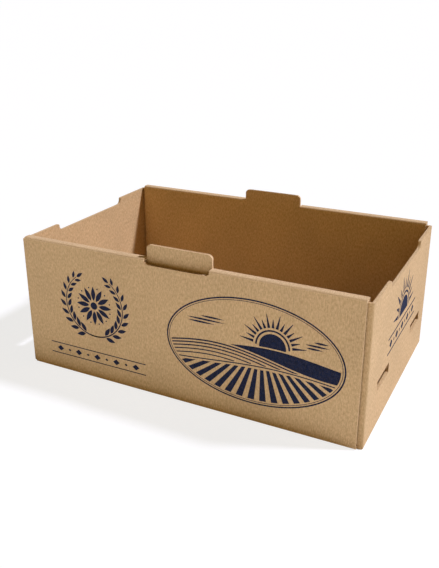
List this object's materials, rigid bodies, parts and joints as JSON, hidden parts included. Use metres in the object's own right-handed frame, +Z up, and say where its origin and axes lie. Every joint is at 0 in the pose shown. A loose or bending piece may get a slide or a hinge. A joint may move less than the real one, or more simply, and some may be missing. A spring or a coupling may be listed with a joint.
{
  "type": "cardboard tray box",
  "caption": "Open corrugated produce tray folded from one sheet, with rolled long walls, stacking tabs, recessed end walls and vents.",
  "frame": {"origin": "middle of the underside of the floor", "axes": "+X along the long walls, +Y from the front wall to the rear wall, +Z up"},
  "size_m": [0.4, 0.259, 0.1695],
  "materials": {
    "kraft_board": "unbleached kraft liner, matt, with raw fluted cut edges"
  },
  "bodies": {
    "root": {"tray": "kraft_board"}
  },
  "joints": []
}
